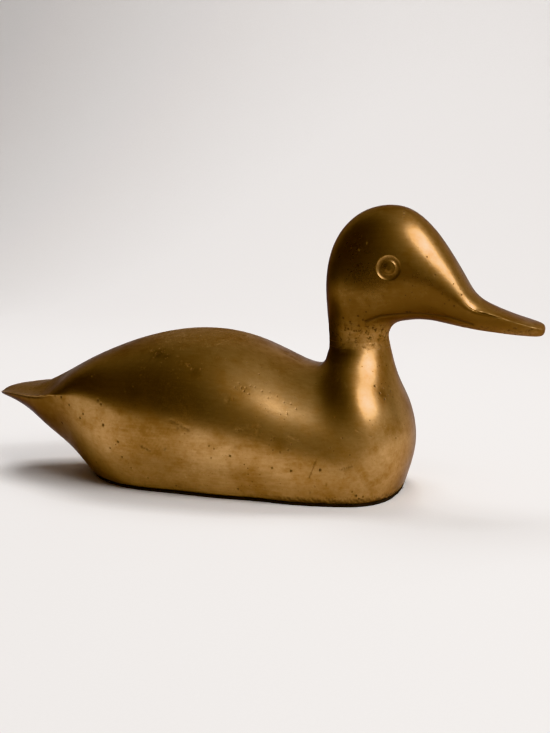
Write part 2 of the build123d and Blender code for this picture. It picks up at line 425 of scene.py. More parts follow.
# %% Finer nets and soft steps
def refine(piece, wanted):
    """Halve the net where both ends of an edge are wanted."""
    chosen = wanted(points_of(piece))
    shape = bmesh.new()
    shape.from_mesh(piece.data)
    shape.verts.ensure_lookup_table()
    edges = [e for e in shape.edges if chosen[e.verts[0].index] and chosen[e.verts[1].index]]
    bmesh.ops.subdivide_edges(shape, edges=edges, cuts=1, use_grid_fill=True)
    shape.to_mesh(piece.data)
    shape.free()


def ramp(values, low, high):
    """Soft step from 0 at low to 1 at high."""
    t = np.clip((values - low) / (high - low), 0, 1)
    return t * t * (3 - 2 * t)


def band(values, start, full, fading, end):
    """Soft band, 0 up to the start and past the end, and 1 from full to fading."""
    return ramp(values, start, full) * (1 - ramp(values, fading, end))


print("soft steps ready")


# %% Cutting tools
def settle(piece):
    """Turn the live modifiers of a piece into plain mesh."""
    graph = bpy.context.evaluated_depsgraph_get()
    mesh = bpy.data.meshes.new_from_object(piece.evaluated_get(graph))
    piece.modifiers.clear()
    old, piece.data = piece.data, mesh
    mesh.name = piece.name
    bpy.data.meshes.remove(old)


def cut(piece, tool, how="DIFFERENCE"):
    """Take a tool's solid away from a piece, add it, or keep only what lies in both."""
    step = piece.modifiers.new("cut", "BOOLEAN")
    step.solver, step.operation, step.object = "MANIFOLD", how, tool
    settle(piece)
    bpy.data.objects.remove(tool)


def block(low, high):
    """Plain block between two corners, used only as a cutting tool."""
    (x0, y0, z0), (x1, y1, z1) = low, high
    corners = [(x, y, z) for x in (x0, x1) for y in (y0, y1) for z in (z0, z1)]
    faces = [(0, 1, 3, 2), (4, 6, 7, 5), (0, 4, 5, 1), (2, 3, 7, 6), (0, 2, 6, 4), (1, 5, 7, 3)]
    return make_piece("tool", corners, faces)


def slab(low, high):
    return block((tail_tip - overrun, -body_width, low), (-tail_tip + overrun, body_width, high))


def round_neck(low, high):
    return block((neck_back - overrun, -body_width, low), (-tail_tip + overrun, body_width, high))


def upright_rod(radius, low, high, sides=96):
    turn = np.linspace(0, 2 * math.pi, sides, endpoint=False)
    ring = np.stack([neck_axis + radius * np.cos(turn), radius * np.sin(turn)], axis=1)
    rings = np.array([np.column_stack([ring, np.full(sides, z)]) for z in (low, high)])
    return make_piece("tool", *ring_mesh(rings))


print("cutting tools ready")

# %% [markdown]
# ## The root of the neck
# The slices fan round the notch behind the neck, and where they lie closest the skin keeps a
# narrow fold that no founder would leave: it is filed away on the real duck. Each point there
# is compared with the mean of the skin around it and moved square to the skin. The mean is
# taken twice, the second time of what the first one lost, so the broad hollow stays.


# %% A file for skins
def areas_of(piece):
    """Area of skin that belongs to each point."""
    faces, corner = piece.data.polygons, read(piece.data.loops, "vertex_index", kind=int)
    area, total = read(faces, "area"), read(faces, "loop_total", kind=int)
    return np.bincount(corner, np.repeat(area / total, total), len(piece.data.vertices))


def mean_around(places, facing, source, values, reach, batch=1000):
    """Mean of the values of the source skin around each place, by distance and by direction."""
    points, normals, area = source
    found = np.zeros_like(places)
    for start in range(0, len(places), batch):
        here, way = places[start:start + batch], facing[start:start + batch]
        apart = (here**2).sum(axis=1)[:, None] + (points**2).sum(axis=1) - 2 * here @ points.T
        weight = np.exp(-apart / (2 * reach**2)) * area * np.clip(way @ normals.T, 0, 1)
        found[start:start + batch] = weight @ values / weight.sum(axis=1)[:, None]
    return found


def file_away(piece, share, reach, every=5):
    """Even out the skin over a reach, as far as each point's share asks."""
    points, normals, area = points_of(piece), normals_of(piece), areas_of(piece)
    inner, margin = np.flatnonzero(share > 0), 3 * reach
    low, high = points[inner].min(axis=0) - margin, points[inner].max(axis=0) + margin
    pool = np.flatnonzero(((points > low) & (points < high)).all(axis=1))[::every]
    source = points[pool], normals[pool], area[pool]
    lost = points[pool] - mean_around(points[pool], normals[pool], source, points[pool], reach)
    wanted = mean_around(points[inner], normals[inner], source, points[pool] + lost, reach)
    square = ((wanted - points[inner]) * normals[inner]).sum(axis=1) * share[inner]
    points[inner] += normals[inner] * square[:, None]
    move_points(piece, points)
    return np.abs(square).max()


print("file ready")

# %% File the root of the neck
points = points_of(body)
root_share = band(points[:, 0], 20 * mm, 28 * mm, 46 * mm, 54 * mm)
root_share *= band(points[:, 2], 14 * mm, 24 * mm, 58 * mm, 64 * mm)
root_share *= ramp(np.abs(points[:, 1]), 3 * mm, 9 * mm)
neck_reach, bill_reach = 4 * mm, 3 * mm
moved = file_away(body, root_share, neck_reach)
print("fold filed away, at most", round(moved / mm, 2), "mm")

# %% File the root of the bill
from_root = np.abs(points_of(head_piece)[:, 0] - bill_root - 2 * mm)
moved = file_away(head_piece, 1 - ramp(from_root, 6 * mm, 15 * mm), bill_reach)
print("bill root filed, at most", round(moved / mm, 2), "mm")

# %% [markdown]
# ## Marks that the eye finds
# Casting pits, scratches, stains, the line of the jaw and some bright nicks are seen at
# definite places. Each is put on the skin by a ray from the camera, as a shallow dish or
# groove pressed in along the metal's own normal. A painted spot would look right from one side
# only. The eyes are round grooves with a soft floor, and the pupil stands between.

# %% Where the marks are
# Pits: radius and depth in millimetres, then across and down the picture for each.
body_pits = {
    (1.3, 0.45): [(157, 353)],
    (1.2, 0.5): [(189, 365)],
    (1.0, 0.55): [(62, 423)],
    (1.0, 0.5): [(385, 399), (103, 425)],
    (1.0, 0.35): [(152, 350), (163, 351)],
    (0.9, 0.55): [(61, 397)],
    (0.9, 0.5): [(320, 470), (380, 393), (356, 496)],
    (0.9, 0.45): [(391, 391)],
    (0.9, 0.4): [(192, 369), (101, 404)],
    (0.9, 0.3): [(98, 400)],
    (0.8, 0.5): [(291, 471), (375, 386), (359, 499)],
    (0.8, 0.35): [(118, 442)],
    (0.8, 0.25): [(160, 348), (168, 354)],
    (0.8, 0.2): [(80, 418)],
    (0.7, 0.4): [(201, 369), (230, 456)],
    (0.7, 0.35): [(69, 405)],
    (0.7, 0.3): [(187, 364), (272, 468), (388, 395)],
    (0.7, 0.25): [(154, 357), (238, 489), (122, 457)],
    (0.7, 0.15): [(83, 414)],
    (0.6, 0.35): [(363, 497)],
    (0.6, 0.3): [(259, 374), (244, 391), (342, 438), (383, 388), (30, 389)],
    (0.6, 0.25): [(185, 339), (225, 340), (241, 388), (396, 438), (131, 468)],
    (0.6, 0.2): [(166, 358), (149, 347), (288, 450), (55, 396), (110, 448), (96, 462), (148, 478),
        (176, 486)],
    (0.5, 0.25): [(246, 388), (262, 391), (389, 386)],
    (0.5, 0.2): [(173, 349), (178, 356), (182, 361), (218, 357), (226, 359), (247, 362), (250, 386),
        (255, 387), (249, 394), (233, 399), (284, 402), (291, 404), (296, 409), (271, 440),
        (274, 438), (209, 446), (214, 449), (211, 458), (335, 417), (393, 397), (352, 492),
        (92, 376), (330, 448), (350, 455)],
    (0.5, 0.15): [(291, 444)],
    (0.4, 0.2): [(213, 353), (239, 383), (262, 367), (235, 387), (270, 392), (268, 398), (277, 396),
        (287, 414)],
    (0.4, 0.15): [(269, 445), (273, 450), (280, 452), (287, 439)],
}
head_pits = {
    (0.9, 0.5): [(407, 312)],
    (0.8, 0.5): [(410, 312)],
    (0.8, 0.4): [(373, 328)],
    (0.7, 0.35): [(348, 329), (383, 330)],
    (0.6, 0.35): [(435, 275), (404, 214)],
    (0.6, 0.3): [(404, 211), (462, 295), (454, 306), (354, 331), (343, 318), (350, 322), (358, 316),
        (363, 320), (376, 331)],
    (0.6, 0.25): [(459, 278)],
    (0.5, 0.3): [(427, 257)],
    (0.5, 0.25): [(404, 217), (366, 312)],
    (0.5, 0.2): [(367, 243), (359, 250), (350, 300), (454, 284), (442, 294), (449, 300),
        (470, 302)],
    (0.4, 0.2): [(390, 221)],
}
# Scratches: across and down the picture at both ends.
body_scratches = [
    (316, 461, 309, 478), (289, 436, 300, 441), (356, 430, 372, 437), (170, 420, 190, 431),
    (235, 430, 262, 425), (140, 446, 151, 452), (340, 470, 352, 466), (283, 352, 300, 361),
]
# Stains: across and down the picture, radius in millimetres, then strength from 0 to 1.
body_stains = [
    (158, 354, 5.0, 0.55), (166, 356, 3.5, 0.4), (382, 394, 3.6, 0.4), (132, 392, 9.0, 0.22),
    (196, 372, 4.0, 0.3), (244, 389, 5.0, 0.2), (280, 446, 6.0, 0.2), (62, 420, 5.0, 0.25),
    (152, 442, 27.0, 0.3), (335, 468, 20.0, 0.14),
]
# The jaw and the nicks: across and down the picture.
jaw_line = [(366, 322), (380, 317), (394, 315), (407, 314), (430, 315), (450, 318), (472, 325)]
bright_nicks = [
    (367, 243), (359, 250), (350, 300), (345, 383), (346, 386), (404, 213), (30, 389),
]
body_marks, head_marks = (
    [(x, y, *size) for size, places in pits.items() for x, y in places]
    for pits in (body_pits, head_pits)
)
print("marks listed:", len(body_marks), "on the body,", len(head_marks), "on the head")


# %% Find the marks on the skins
def find_on(piece, marks):
    """Real place of each mark whose ray finds the piece, with its two sizes turned into metres."""
    tree = BVHTree.FromObject(piece, bpy.context.evaluated_depsgraph_get())
    found = []
    for x, y, radius, depth in marks:
        hit = tree.ray_cast(camera.location, picture_ray(x, y))[0]
        if hit is not None:
            found.append((np.array(hit), radius * mm, depth * mm))
    return found


def line_ends(piece, lines):
    """Real ends of the lines whose two ends both lie on the piece."""
    ends = []
    for x0, y0, x1, y1 in lines:
        both = find_on(piece, [(x0, y0, 0, 0), (x1, y1, 0, 0)])
        if len(both) == 2:
            ends.append((both[0][0], both[1][0]))
    return ends


body_found, head_found = find_on(body, body_marks), find_on(head_piece, head_marks)
nick_marks = [(x, y, 0, 0) for x, y in bright_nicks]
nicks = [hit for hit, _, _ in find_on(body, nick_marks) + find_on(head_piece, nick_marks)]
scratch_ends = line_ends(body, body_scratches)
jaw_ends = line_ends(head_piece, [(*start, *end) for start, end in zip(jaw_line, jaw_line[1:])])
jaw_ends += [(start * [1, -1, 1], end * [1, -1, 1]) for start, end in jaw_ends]
eye_centre = np.array([bill_root - eye_setback, neck_joint + eye_height])
print("marks found:", len(body_found), "on the body,", len(head_found), "on the head")


# %% A finer net where the marks come
def away_from_line(points, start, end):
    """Distance of each point from the straight line between two places."""
    along = end - start
    share = np.clip((points - start) @ along / (along @ along), 0, 1)
    return distance(points, start + share[:, None] * along)


def near_marks(found, reach):
    return lambda points: np.any([distance(points, at) < r + reach for at, r, _ in found], axis=0)


def near_lines(ends, reach):
    return lambda points: np.any([away_from_line(points, *both) < reach for both in ends], axis=0)


def near_eyes(reach):
    return lambda points: distance(points[:, [0, 2]], eye_centre) < eye_radius + reach


def near_rim(reach):
    rim_middle = felt_thickness + rim_round / 2
    return lambda points: np.abs(points[:, 2] - rim_middle) < rim_round / 2 + reach


for piece, wanted in (
    (body, near_rim(0.6 * mm)), (body, near_rim(0.3 * mm)),
    (body, near_marks(body_found, 0.9 * mm)), (body, near_marks(body_found, 0.3 * mm)),
    (body, near_lines(scratch_ends, 0.9 * mm)), (head_piece, near_lines(jaw_ends, 1.3 * mm)),
    (head_piece, near_marks(head_found, 0.7 * mm)),
    (head_piece, near_eyes(1.6 * mm)), (head_piece, near_eyes(0.9 * mm)),
):
    refine(piece, wanted)
print("skins now", len(body.data.polygons), "and", len(head_piece.data.polygons), "faces")

# %% [markdown]
# ## Worn edges, dark hollows and painted shade
# Hands polish what stands out and leave dirt in what lies back. How strongly the metal bends
# at a point tells which is which, so the bend is measured once on the skin and kept on the
# mesh as a number. The undersides of the tail and the head, and the back of the neck's root,
# are darkened with the hollows as painted shade. Reading all this in the shader instead
# would be lost when the piece is exported.


# %% Measure how the metal bends
def bend_of(piece, passes=3):
    """Bend at each point in 1 per metre, positive where the metal stands out."""
    points, normals = points_of(piece), normals_of(piece)
    a, b = read(piece.data.edges, "vertices", 2, int).T
    between = points[b] - points[a]
    squared = (between**2).sum(axis=1) + 1e-12
    count = np.bincount(a, minlength=len(points)) + np.bincount(b, minlength=len(points))
    bend = np.zeros(len(points))
    np.add.at(bend, a, -2 * (between * normals[a]).sum(axis=1) / squared)
    np.add.at(bend, b, 2 * (between * normals[b]).sum(axis=1) / squared)
    bend /= np.maximum(count, 1)
    for _ in range(passes):
        spread = np.bincount(a, bend[b], len(points)) + np.bincount(b, bend[a], len(points))
        bend = (bend + spread / np.maximum(count, 1)) / 2
    return bend


def painted_shade_of(piece, under_from, under_to):
    """Painted shade at each point: the undersides beyond a given place, and behind the neck."""
    points, facing = points_of(piece), normals_of(piece)
    facing_down, facing_back = ramp(-facing[:, 2], -0.3, 0.3), ramp(-facing[:, 0], 0.1, 0.8)
    under = facing_down * ramp(points @ under_from[0], *under_from[1:])
    under *= ramp(points[:, 2], *under_to)
    nape_side = facing_back * ramp(points[:, 0], 20 * mm, 30 * mm)
    nape_side *= band(points[:, 2], 52 * mm, 62 * mm, 92 * mm, 112 * mm)
    return np.maximum(under, nape_side)


# %% Keep wear, and hollows with painted shade, on both castings
worn_bend, hollow_bend, nick_fade = (120, 700), (40, 260), (0.2 * mm, 0.8 * mm)
tail_side = ([-1, 0, 0], 50 * mm, 100 * mm), (12 * mm, 30 * mm)
head_side = ([0, 0, 1], 0, 1 * mm), (neck_joint + 1 * mm, neck_joint + 14 * mm)
for piece, side in ((body, tail_side), (head_piece, head_side)):
    bend, points = bend_of(piece), points_of(piece)
    worn = ramp(bend, *worn_bend)
    for spot in nicks:
        worn = np.maximum(worn, 1 - ramp(distance(points, spot), *nick_fade))
    store(piece, "worn", worn)
    # The hollow number holds patina in hollows, and painted shade on the undersides and behind the neck.
    store(piece, "hollow", np.maximum(ramp(-bend, *hollow_bend), painted_shade_of(piece, *side)))
print("bend and shelter kept on both castings")

# %% [markdown]
# ## Pressing the marks in
# Every mark is sunk the same way. It says how deep each point of the skin goes and how dark
# it gets, because dirt stays where a cloth can't reach, and then the points move in along
# their normals. The groove under the tail's edge is darkened as painted shade, and the metal
# along the front of the rim is darker. Cutting each pit with its own tool would be exact, but
# far too slow.


# %% Helpers for pressing
def press(piece, depth, dark):
    """Move points inwards along their normals and keep how dark the places are."""
    move_points(piece, points_of(piece) - normals_of(piece) * depth[:, None])
    store(piece, "dark", np.clip(dark, 0, 1))


def dishes(points, found, radius_share=0.8, depth_share=0.35, darkest=0.8):
    """Depth and darkness of dishes with a soft, ragged lip."""
    depth, dark = np.zeros(len(points)), np.zeros(len(points))
    ragged = 1 + 0.3 * np.sin(points @ [5200, 3100, 4300]) * np.sin(points @ [-2900, 4700, 5600])
    for spot, radius, deep in found:
        away = distance(points, spot) / (radius_share * radius) * ragged
        depth = np.maximum(depth, deep * depth_share * (1 - ramp(away, 0.15, 1.0)))
        dark = np.maximum(dark, darkest * (1 - ramp(away, 0.3, 1.2)))
    return depth, dark


def scratched(points, ends, deep, width, flat=0.05 * mm):
    """Depth of fine grooves, each a straight line between two places on the skin."""
    depth = np.zeros(len(points))
    for both in ends:
        depth = np.maximum(depth, deep * (1 - ramp(away_from_line(points, *both), flat, width)))
    return depth


def neck_rough(points):
    """The neck was left as cast from the joint up to the jaw, and rubbed smooth below it."""
    return band(points[:, 2], *(neck_joint + up * mm for up in (-4, 2, 7, 13)))


print("pressing helpers ready")

# %% The rim, and the groove under the edge of the tail
points = points_of(body)
depth, dark = dishes(points, body_found)
above_rim = points[:, 2] - felt_thickness
to_round = np.clip(rim_round - above_rim, 0, rim_round)
round_off = rim_round - np.sqrt(np.clip(rim_round**2 - to_round**2, 0, None))
tail_slices, groove_width, deck_fade, groove_painted_shade = 7, 0.4 * mm, (-100 * mm, -84 * mm), 0.7
clock, at = run_through(np.array([slice_poles(s) for s in duck]))
edge = at(ring_times(clock, at, 0, tail_slices, 1 * mm))[:, 3]
edge_across, edge_up = (np.interp(points[:, 0], edge[:, 0], edge[:, k]) for k in (1, 2))
below_edge = np.hypot(np.abs(points[:, 1]) - edge_across, points[:, 2] - edge_up)
on_deck = 1 - ramp(points[:, 0], *deck_fade)
lip_groove = np.exp(-((below_edge - lip_groove_drop) / groove_width)**2)
lip_groove *= (points[:, 2] < edge_up) * on_deck
# The groove under the tail's edge is also painted dark: painted shade under the lip.
depth, dark = depth + lip_groove_depth * lip_groove, np.maximum(dark, groove_painted_shade * lip_groove)
print("rim rounded by", rim_round / mm, "mm, groove", lip_groove_depth / mm, "mm deep")

# %% Stains on the body, and darker metal along its rim
patchy = np.sin(points @ [900, 700, 300]) * np.sin(points @ [2100, -1300, 1700])
stain_gain, ragged, rim_ragged, rim_darkness = 1.6, 0.35, 1.2 * mm, 0.8
hollow_shade_and_stains = read(body.data.attributes["hollow"].data, "value", kind=np.float32)
for spot, radius, strength in find_on(body, body_stains):
    away = distance(points, spot) / radius * (1 + ragged * patchy)
    # find_on counts the strength in millimetres, so it is turned back into a share here.
    stain = stain_gain * strength / mm * (1 - ramp(away, 0.1, 1)) * (0.75 + 0.25 * patchy)
    hollow_shade_and_stains = np.maximum(hollow_shade_and_stains, stain)
store(body, "hollow", np.clip(hollow_shade_and_stains, 0, 1))
# Towards the rim at the front the metal is made darker, over a ragged band.
darker_rim_share = 1 - ramp(points[:, 2] + rim_ragged * patchy, 1.8 * mm, 4.4 * mm)
darker_rim_share *= ramp(points[:, 0], 10 * mm, 28 * mm)
dark = np.maximum(dark, rim_darkness * darker_rim_share)
print("stains laid:", len(body_stains))

# %% Press the body
lines = scratched(points, scratch_ends, scratch_depth, scratch_width)
dark = np.maximum(dark, 0.5 * lines / scratch_depth)
press(body, depth + lines + round_off * (above_rim < rim_round), dark)
rim_rough = 1 - ramp(points[:, 2], 2.5 * mm, 5 * mm)
rim_rough *= 0.35 + 0.65 * ramp(points[:, 0], 5 * mm, 30 * mm)
deck_rough = 0.45 * on_deck * ramp(normals_of(body)[:, 2], 0.4, 0.8)
store(body, "rough", np.maximum(np.maximum(rim_rough, deck_rough), neck_rough(points)))
print("body pressed, scratches:", len(scratch_ends))

# %% Press the eyes and the jaw line into the head
points = points_of(head_piece)
depth, dark = dishes(points, head_found)
from_eye = distance(points[:, [0, 2]], eye_centre)
groove_middle, groove_half = (pupil_radius + eye_radius) / 2, (eye_radius - pupil_radius) / 2
groove = 1 - ramp(np.abs(from_eye - groove_middle), 0.15 * mm, groove_half + 0.1 * mm)
pupil_dome = 0.25 * eye_depth * ramp(from_eye, 0.8 * mm, pupil_radius)
pupil_dome *= from_eye < groove_middle
jaw = scratched(points, jaw_ends, jaw_depth, jaw_width)
dark = np.maximum(np.maximum(dark, 0.45 * groove), 0.5 * jaw / jaw_depth)
press(head_piece, depth + jaw + np.maximum(eye_depth * groove, pupil_dome), dark)
store(head_piece, "rough", np.maximum(neck_rough(points), 0.45 * groove))
print("eyes at", (eye_centre / mm).round(1), "mm, grooves", eye_depth / mm, "mm deep")

# %% [markdown]
# ## Node trees by a few words
# The finish and the pitted skin are both made with nodes. Clicking them together would work
# as well, but it could not be read or repeated. These helpers keep that readable: one adds a
# node with its settings and wires its inputs, some write a sum or a pattern in one line, and
# one starts a group whose inputs have names and plain starting values.


# %% Helpers for node trees
def socket(sockets, key):
    """A socket by its place or by its name, where only the ones in use count."""
    if isinstance(key, int):
        return sockets[key]
    return next(s for s in sockets if s.name == key and s.enabled)


def feed(tree, target, value):
    """Give an input a plain value, or an output to follow."""
    if isinstance(value, bpy.types.NodeSocket):
        tree.links.new(value, target)
    else:
        target.default_value = value


def add(tree, kind, wires=None, **settings):
    """Add a node, set it up, and feed each named input."""
    node = tree.nodes.new(kind)
    for name, value in settings.items():
        setattr(node, name, value)
    for key, value in (wires or {}).items():
        feed(tree, socket(node.inputs, key), value)
    return node


def first_out(tree, kind, wires=None, **settings):
    return add(tree, kind, wires, **settings).outputs[0]


def connect(tree, node, **sources):
    """Join each source to the node's input of that name, with _ for a space."""
    for label, source in sources.items():
        tree.links.new(source, node.inputs[label.replace("_", " ")])


print("node helpers ready")


# %% Sums, steps and patterns in one line
def math_node(tree, operation, first, second=0.0, third=0.0, clamp=False):
    wires = {0: first, 1: second, 2: third}
    return first_out(tree, "ShaderNodeMath", wires, operation=operation, use_clamp=clamp)


def vector_node(tree, operation, first, second, out=0):
    wires = {0: first, 1: second}
    return add(tree, "ShaderNodeVectorMath", wires, operation=operation).outputs[out]


def soft_step(tree, value, low, high, start=0.0, end=1.0):
    wires = {"Value": value, "From Min": low, "From Max": high, "To Min": start, "To Max": end}
    return first_out(tree, "ShaderNodeMapRange", wires, interpolation_type="SMOOTHSTEP")


def mix_colour(tree, share, first, second):
    node = add(tree, "ShaderNodeMix", data_type="RGBA")
    for index, value in ((0, share), (6, first), (7, second)):
        feed(tree, node.inputs[index], value)
    return node.outputs[2]


def noise(tree, place, size, detail=3.0, roughness=0.55, stretch=None):
    """Noise with features of a real size in metres, stretched along the axes if asked."""
    if stretch is not None:
        place = vector_node(tree, "MULTIPLY", place, stretch)
    wires = {"Vector": place, "Scale": 1 / size, "Detail": detail, "Roughness": roughness}
    return first_out(tree, "ShaderNodeTexNoise", wires)


def relief(tree, height, strength, distance):
    """A bump that tilts the shading as a surface of that height would."""
    wires = {"Strength": strength, "Distance": distance, "Height": height}
    return first_out(tree, "ShaderNodeBump", wires)


def start_group(name, kind, inputs, outputs):
    """A group with its own sockets: (name, type, starting value) in and (name, type) out."""
    tree = bpy.data.node_groups.new(name, kind)
    for label, kind_in, value in inputs:
        made = tree.interface.new_socket(label, in_out="INPUT", socket_type="NodeSocket" + kind_in)
        if value is not None:
            made.default_value = value
    for label, kind_out in outputs:
        tree.interface.new_socket(label, in_out="OUTPUT", socket_type="NodeSocket" + kind_out)
    return tree, tree.nodes.new("NodeGroupInput").outputs, tree.nodes.new("NodeGroupOutput")


print("pattern helpers ready")

# %% [markdown]
# ## Aged brass
# Old polished brass isn't one colour. Clouds of brown tarnish lie over yellow metal, rubbing
# leaves fine lines along the body, pores hold black dirt, and edges stay bright. One group
# makes all of this from the place on the metal and the numbers kept on the mesh, and both
# castings and the filler use it with their own values. Three separate materials would soon
# drift apart.

# %% The aged brass group and its patterns
brass, given, made = start_group("aged_brass", "ShaderNodeTree", [
    ("Place", "Vector", None), ("Worn", "Float", 0.0), ("Hollow", "Float", 0.0),
    ("Pits", "Float", 0.0), ("Rough Cast", "Float", 0.0),
    ("Clean Brass", "Color", (0.585, 0.375, 0.178, 1)),
    ("Brown Tarnish", "Color", (0.325, 0.174, 0.064, 1)),
    ("Black Dirt and Shade", "Color", (0.03, 0.014, 0.006, 1)),
    ("Tarnish", "Float", 0.25), ("Gloss Loss", "Float", 0.29),
], [("Colour", "Color"), ("Metal", "Float"), ("Roughness", "Float"), ("Height", "Float")])
calc, ease = partial(math_node, brass), partial(soft_step, brass)
pattern = partial(noise, brass, given["Place"])
rough_cast, pore_spacing = given["Rough Cast"], 2.4 * mm
clouds = ease(pattern(30 * mm, 4, 0.6), 0.35, 0.68)
blotches = ease(pattern(7 * mm, 5, 0.65), 0.42, 0.72)
mottling = pattern(2.4 * mm, 6, 0.75)
speckle = ease(pattern(0.7 * mm, 2, 0.6), 0.66, 0.76)
rub_lines = pattern(1.1 * mm, 3, 0.6, stretch=(0.09, 1, 1))
fine_grain = pattern(0.35 * mm, 3, 0.6)
wires = {"Vector": given["Place"], "Scale": 1 / pore_spacing}
pore_cells = add(brass, "ShaderNodeTexVoronoi", wires, feature="F1").outputs["Distance"]
pore_field = ease(pattern(16 * mm, 2, 0.5), 0.48, 0.66)
pores = calc("MULTIPLY", ease(pore_cells, 0.16, 0.07), pore_field)
cast_spots = calc("MULTIPLY", ease(pattern(1.6 * mm, 4, 0.7), 0.5, 0.68), rough_cast)
print("brass patterns ready")

# %% Tarnish, dirt, gloss and relief of the brass
tarnish = calc("ADD", calc("MULTIPLY", clouds, 0.7), calc("MULTIPLY", blotches, 0.55))
for source, strength in ((rub_lines, 1.0), (mottling, 1.1)):
    tarnish = calc("ADD", tarnish, calc("MULTIPLY_ADD", source, strength, -strength / 2))
tarnish = calc("MULTIPLY_ADD", tarnish, 0.6, given["Tarnish"])
# Hollow browns the tarnish: patina in hollows and stains, and painted shade on the undersides and behind
# the neck.
tarnish = calc("ADD", tarnish, calc("MULTIPLY", given["Hollow"], 0.4))
tarnish = calc("SUBTRACT", tarnish, calc("MULTIPLY", given["Worn"], 0.6), clamp=True)
# The dark marks bring dirt in pits, scratches and grooves, the darker metal along the rim, and painted
# shade in the groove under the tail's edge.
dirt = given["Pits"]
for source, strength in ((pores, 0.75), (speckle, 0.5), (cast_spots, 0.8)):
    dirt = calc("MAXIMUM", dirt, calc("MULTIPLY", source, strength))
colour = mix_colour(brass, tarnish, given["Clean Brass"], given["Brown Tarnish"])
# Both mix towards black: dirt, and painted shade where the hollow number or the tail groove holds it.
for share in (calc("MULTIPLY", given["Hollow"], 0.66), dirt):
    colour = mix_colour(brass, share, colour, given["Black Dirt and Shade"])
gloss = given["Gloss Loss"]
uneven_rub = calc("SUBTRACT", mottling, 0.5)
for source, strength in ((clouds, 0.07), (blotches, 0.05), (uneven_rub, 0.16), (rough_cast, 0.20)):
    gloss = calc("MULTIPLY_ADD", source, strength, gloss)
gloss = calc("MULTIPLY_ADD", dirt, 0.35, gloss, clamp=True)
grain_depth = calc("MULTIPLY_ADD", rough_cast, 0.9, 0.12)
height = calc("MULTIPLY_ADD", fine_grain, grain_depth, calc("MULTIPLY", rub_lines, 0.25))
for source, strength in ((pores, 0.8), (cast_spots, 1.0)):
    height = calc("SUBTRACT", height, calc("MULTIPLY", source, strength))
metal = calc("MULTIPLY_ADD", dirt, -0.75, 1.0)
connect(brass, made, Colour=colour, Metal=metal, Roughness=gloss, Height=height)
print("aged brass group:", len(brass.nodes), "nodes")


# %% Brass of the two castings and of the filler
def start_material(name):
    material = bpy.data.materials.new(name)
    material.use_nodes = True
    tree = material.node_tree
    spot = add(tree, "ShaderNodeTexCoord").outputs["Object"]
    return material, tree, tree.nodes["Principled BSDF"], spot


def kept(tree, name):
    node = add(tree, "ShaderNodeAttribute", attribute_name=name, attribute_type="GEOMETRY")
    return node.outputs["Fac"]


def brass_material(name, bump, **values):
    """Brass from the group, with its own values for the inputs that are named."""
    material, tree, shader, spot = start_material(name)
    finish = add(tree, "ShaderNodeGroup", node_tree=brass)
    connect(tree, finish, Place=spot, Worn=kept(tree, "worn"), Hollow=kept(tree, "hollow"),
            Pits=kept(tree, "dark"), Rough_Cast=kept(tree, "rough"))
    for label, value in values.items():
        finish.inputs[label.replace("_", " ")].default_value = value
    out = finish.outputs
    connect(tree, shader, Base_Color=out["Colour"], Metallic=out["Metal"], Roughness=out["Roughness"],
            Normal=relief(tree, out["Height"], 0.6, bump))
    shader.inputs["Specular Tint"].default_value = (0.45, 0.45, 0.5, 1)
    return material


body_brass = brass_material("aged_brass_body", 0.05 * mm)
head_brass = brass_material("aged_brass_head", 0.035 * mm, Gloss_Loss=0.27, Tarnish=0.35)
filler_brass = brass_material("aged_brass_filler", 0.12 * mm, Gloss_Loss=0.34, Tarnish=0.3)
print("brass materials:", body_brass.name, head_brass.name, filler_brass.name)

# %% [markdown]
# ## The skin of a casting
# A casting that was filed and rubbed by hand is never quite even, and it carries pits left
# by gas in the metal. A geometry tree does both at once: a slow wave that only takes metal
# away, a finer roughness where the casting was left unfiled, and pits that are
# scattered in swarms and pressed in as dishes. The pits are dented into the net itself,
# because a raised or sunk place that exists only in the shading vanishes at the outline.

# %% Geometry tree for the skin of a casting
skin_tree, given, made = start_group("casting_skin", "GeometryNodeTree", [
    ("Geometry", "Geometry", None),
    ("Wave Depth", "Float", 0.12 * mm), ("Wave Size", "Float", 22 * mm),
    ("Rough Depth", "Float", 0.25 * mm), ("Rough Size", "Float", 1.6 * mm),
    ("Pits per Square Metre", "Float", 7000.0), ("Pit Depth Share", "Float", 0.35),
    ("Pit Radius Min", "Float", 0.25 * mm), ("Pit Radius Max", "Float", 0.6 * mm),
    ("Seed", "Int", 0), ("Material", "Material", None),
], [("Geometry", "Geometry")])
node, first = partial(add, skin_tree), partial(first_out, skin_tree)
calc = partial(math_node, skin_tree)
place_now = first("GeometryNodeInputPosition")
on_points, least_radius, pit_dark = {"domain": "POINT"}, 0.01 * mm, 0.45
swarm_size, swarm_from, swarm_full = 28 * mm, 0.46, 0.68
ragged_size, ragged_gain, ragged_least = 0.8 * mm, 1.6, 0.3


def sized_noise(size, detail):
    wires = {"Vector": place_now, "Scale": calc("DIVIDE", 1.0, size), "Detail": detail}
    return first("ShaderNodeTexNoise", wires)


def named_number(name):
    return first("GeometryNodeInputNamedAttribute", {"Name": name}, data_type="FLOAT")


def keep_number(geometry, name, value):
    wires = {"Geometry": geometry, "Name": name, "Value": value}
    return first("GeometryNodeStoreNamedAttribute", wires, data_type="FLOAT", **on_points)


def of_nearest(value, kind):
    wires = {"Geometry": pit_points, "Value": value, "Index": nearest}
    return first("GeometryNodeSampleIndex", wires, data_type=kind, **on_points)


